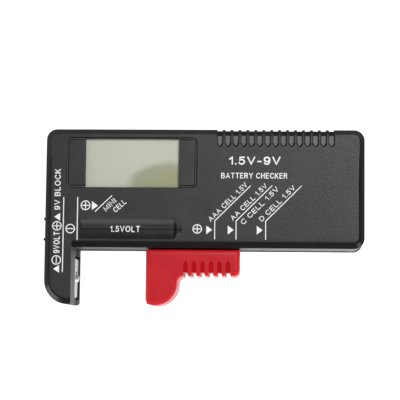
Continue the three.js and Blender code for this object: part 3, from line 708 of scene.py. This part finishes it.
def lettering(text, x, y, height, length, weight, angle=0.0):
    """Printed capitals of this height, length and weight, centred on x, y and turned by angle degrees."""
    rise = height - weight
    widths = [LETTERS[letter][0] for letter in text]
    spread = (length - weight * len(text)) / (sum(widths) + LETTER_SPACE * (len(text) - 1))
    turn = Matrix.Rotation(math.radians(angle), 2)
    start = (weight - length) / 2
    for letter, width in zip(text, widths):
        for stroke in LETTERS[letter][1]:
            flat = [Vector((start + px * spread, py * rise - rise / 2)) for px, py in stroke]
            line([turn @ point + Vector((x, y)) for point in capped(flat, weight)], weight)
        start += (width + LETTER_SPACE) * spread + weight


def wrap_on_relief(pieces):
    """Lays printing down on the round floor of the cell relief."""
    radius = (RELIEF_HALF**2 + RELIEF_DEPTH**2) / (2 * RELIEF_DEPTH)
    axis_z = FACE_Z + radius - RELIEF_DEPTH
    for piece in pieces:
        work = bmesh.new()
        work.from_mesh(piece.data)
        for _ in range(2):
            long_edges = [edge for edge in work.edges if edge.calc_length() > PRINT_EDGE]
            bmesh.ops.subdivide_edges(work, edges=long_edges, cuts=2)
            bmesh.ops.triangulate(work, faces=work.faces)
        for vert in work.verts:
            drop = math.sqrt(radius**2 - (vert.co.y - RELIEF_Y) ** 2)
            vert.co.z += axis_z - drop - FACE_Z + RELIEF_LIFT
        work.to_mesh(piece.data)
        work.free()


NINE_VOLT_X = -48.7  # middle of the row of 9 V marks
MARK_LINE = 0.32  # widths of the long lines and of the stop marks' lines
STOP_LINE = 0.30
MINI_SLANT = 43.0  # how far the slanted names are turned
STOP_SLANT = 45.0
# Each stop mark: x of its arrow's base and of its line's foot.
STOP_MARKS = ((1.79, 4.62), (9.02, 11.81), (18.75, 21.73))
STOP_ARROW_Y = -4.4
STOP_ARROW_LENGTH = 1.98
STOP_ARROW_HALF = 1.46
STOP_FOOT, STOP_BEND, STOP_END = -7.6, -1.34, 10.68  # y of the line's foot, bend and end
STOP_RUN = 12.05  # how far the line goes to the right after its bend
# Each name beside the stop marks: its middle and its length.
STOP_NAMES = (
    ("AAA CELL 1.5V", 8.93, 5.08, 17.5),
    ("AA CELL 1.5V", 16.0, 5.12, 16.4),
    ("C CELL 1.5V", 19.66, 3.88, 16.9),
    ("D CELL 1.5V", 25.56, 4.69, 16.0),
)


def print_nine_volt_marks():
    """Marks for a 9 V block, read from the right, and a minus sign between two long lines."""
    x = NINE_VOLT_X
    arrow(x + 1.05, x - 1.0, -17.9, 1.3)
    polarity_ring(x, -14.9, "-", upright=True)
    lettering("9VOLT", x, -9.0, 2.1, 7.2, 0.31, 90.0)
    polarity_ring(x, -3.37, "+")
    arrow(x + 1.05, x - 1.0, -0.3, 1.3)
    lettering("9V BLOCK", x, 9.0, 2.0, 13.9, 0.31, 90.0)
    line([(-46.55, 6.4), (-46.55, -19.0)], MARK_LINE)
    polarity_ring(-44.16, -4.29, "-")
    line([(-41.8, 6.4), (-41.8, -8.15)], MARK_LINE)


def print_mini_cell_marks():
    polarity_ring(-39.11, 3.64, "+", diameter=3.3)
    arrow(-36.95, -34.9, 3.55, 1.5)
    line([(-35.87, 1.56), (-30.18, 7.02)], STOP_LINE)
    lettering("MINI", -30.94, 3.9, 1.8, 4.9, 0.27, MINI_SLANT)
    lettering("CELL", -27.6, 3.5, 1.8, 5.0, 0.27, MINI_SLANT)


def print_round_cell_marks():
    """A plus sign and the slider's three stop marks, with the names of four cell sizes by their lines."""
    polarity_ring(-1.24, -4.09, "+")
    for x, foot in STOP_MARKS:
        arrow(x, x + STOP_ARROW_LENGTH, STOP_ARROW_Y, STOP_ARROW_HALF)
        line([(foot, STOP_FOOT), (foot, STOP_BEND), (foot + STOP_RUN, STOP_END)], STOP_LINE)
    for text, x, y, length in STOP_NAMES:
        lettering(text, x, y, 1.7, length, 0.25, STOP_SLANT)


def joined(name, parts):
    """One piece from several."""
    work = bmesh.new()
    for part in parts:
        work.from_mesh(part.data)
        bpy.data.objects.remove(part)
    mesh = bpy.data.meshes.new(name)
    work.to_mesh(mesh)
    work.free()
    return mesh_object(name, mesh)


print_nine_volt_marks()
print_mini_cell_marks()
print_round_cell_marks()
lettering("1.5V-9V", 17.94, 19.1, 2.75, 17.3, 0.47)
lettering("BATTERY CHECKER", 17.79, 14.0, 1.9, 22.3, 0.28)
flat_count = len(ink_parts)  # what is printed after this goes down into the relief
lettering("1.5VOLT", -25.7, -4.2, 2.1, 10.1, 0.31)
wrap_on_relief(ink_parts[flat_count:])
printing = joined("printing", ink_parts)
printing.data.materials.append(INK)
finish_piece(printing, "housing")

# ---------------------------------------------------------------- floor, lights and camera

WHITE = (1.0, 1.0, 1.0, 1.0)
# Places, sizes and distances from here on are in metres.
FLOOR_GAP = 0.05 * MM  # keeps the floor just clear of the case's flat back
FLOOR_HALF = 3.0
FLOOR_GREY = (0.3, 0.3, 0.3, 1.0)
FLOOR_ROUGHNESS = 0.9
FLOOR_GLOW = (0.95, 0.25)  # near the object and far away
GLOW_REACH = (0.12, 0.8)  # distances between which the glow goes from one to the other
SPOT_PLACE = (0.05, -0.06, 0.0)  # a brighter spot, its glow and the distances over which it fades
SPOT_GLOW = (1.0, 0.0)
SPOT_REACH = (0.02, 0.11)


def fading(tree, distance, reach, glow):
    """A glow that runs smoothly from its first to its last strength as a distance crosses its reach."""
    node = add_node(tree, "ShaderNodeMapRange", interpolation_type="SMOOTHSTEP")
    node.inputs["From Min"].default_value, node.inputs["From Max"].default_value = reach
    node.inputs["To Min"].default_value, node.inputs["To Max"].default_value = glow
    tree.links.new(distance, node.inputs["Value"])
    return node.outputs["Result"]


def floor_material():
    """A pale table that glows evenly near the object and dims further out.

    A brighter spot by the lower right of the object lights the walls that face it.
    """
    material, tree, bsdf = new_material("pale_floor")
    bsdf.inputs["Base Color"].default_value = FLOOR_GREY
    bsdf.inputs["Roughness"].default_value = FLOOR_ROUGHNESS
    bsdf.inputs["Specular IOR Level"].default_value = 0.0
    bsdf.inputs["Emission Color"].default_value = WHITE
    away = add_node(tree, "ShaderNodeVectorMath", operation="LENGTH")
    tree.links.new(position(tree), away.inputs[0])
    near = add_node(tree, "ShaderNodeVectorMath", operation="DISTANCE")
    near.inputs[1].default_value = SPOT_PLACE
    tree.links.new(position(tree), near.inputs[0])
    total = add_node(tree, "ShaderNodeMath", operation="ADD")
    tree.links.new(fading(tree, away.outputs["Value"], GLOW_REACH, FLOOR_GLOW), total.inputs[0])
    tree.links.new(fading(tree, near.outputs["Value"], SPOT_REACH, SPOT_GLOW), total.inputs[1])
    tree.links.new(total.outputs["Value"], bsdf.inputs["Emission Strength"])
    return material


def make_floor():
    mesh = bpy.data.meshes.new("floor")
    half = FLOOR_HALF
    corners = [(-half, -half), (half, -half), (half, half), (-half, half)]
    height = case_low.z - FLOOR_GAP
    mesh.from_pydata([(x, y, height) for x, y in corners], [], [(0, 1, 2, 3)])
    floor = mesh_object("floor", mesh)
    mesh.materials.append(floor_material())


# Each soft light: its place, size and power in watts. All of them face the frame's origin.
LIGHTS = {
    "key_box": ((0.26, 0.34, 0.70), (0.36, 0.36), 5.2),
    "front_box": ((0.05, -0.60, 0.85), (0.9, 0.5), 2.0),
    "left_box": ((-0.85, -0.05, 0.60), (0.4, 0.6), 1.0),
    "left_rim": ((-0.50, -0.34, 0.06), (0.40, 0.12), 2.8),
    "right_rim": ((0.42, -0.42, 0.06), (0.20, 0.12), 1.1),
}
WORLD_STRENGTH = 0.28
CAMERA_PLACE = (21.34 * MM, -40.07 * MM, 500.8 * MM)
CAMERA_TURN = (0.0960, 0.0446, 0.0103)
CAMERA_LENS = 128.12  # lens and sensor are in millimetres
CAMERA_SENSOR = 36.0
CAMERA_RANGE = (0.01, 20.0)


def soft_light(name, place, size, power):
    data = bpy.data.lights.new(name, "AREA")
    data.shape = "RECTANGLE"
    data.size, data.size_y = size
    data.energy = power
    light = bpy.data.objects.new(name, data)
    light.location = place
    light.rotation_euler = (-Vector(place)).to_track_quat("-Z", "Y").to_euler()
    bpy.context.scene.collection.objects.link(light)


def make_world():
    world = bpy.data.worlds.new("studio")
    world.use_nodes = True
    background = world.node_tree.nodes["Background"]
    background.inputs["Color"].default_value = WHITE
    background.inputs["Strength"].default_value = WORLD_STRENGTH
    bpy.context.scene.world = world


def make_camera():
    data = bpy.data.cameras.new("camera")
    data.sensor_width = CAMERA_SENSOR
    data.lens = CAMERA_LENS
    data.clip_start, data.clip_end = CAMERA_RANGE
    camera = bpy.data.objects.new("camera", data)
    camera.location = CAMERA_PLACE
    camera.rotation_euler = Euler(CAMERA_TURN, "XYZ")
    bpy.context.scene.collection.objects.link(camera)
    bpy.context.scene.camera = camera


make_floor()
make_world()
for light_name, (place, size, power) in LIGHTS.items():
    soft_light(light_name, place, size, power)
make_camera()
bpy.context.scene.view_settings.view_transform = "Standard"
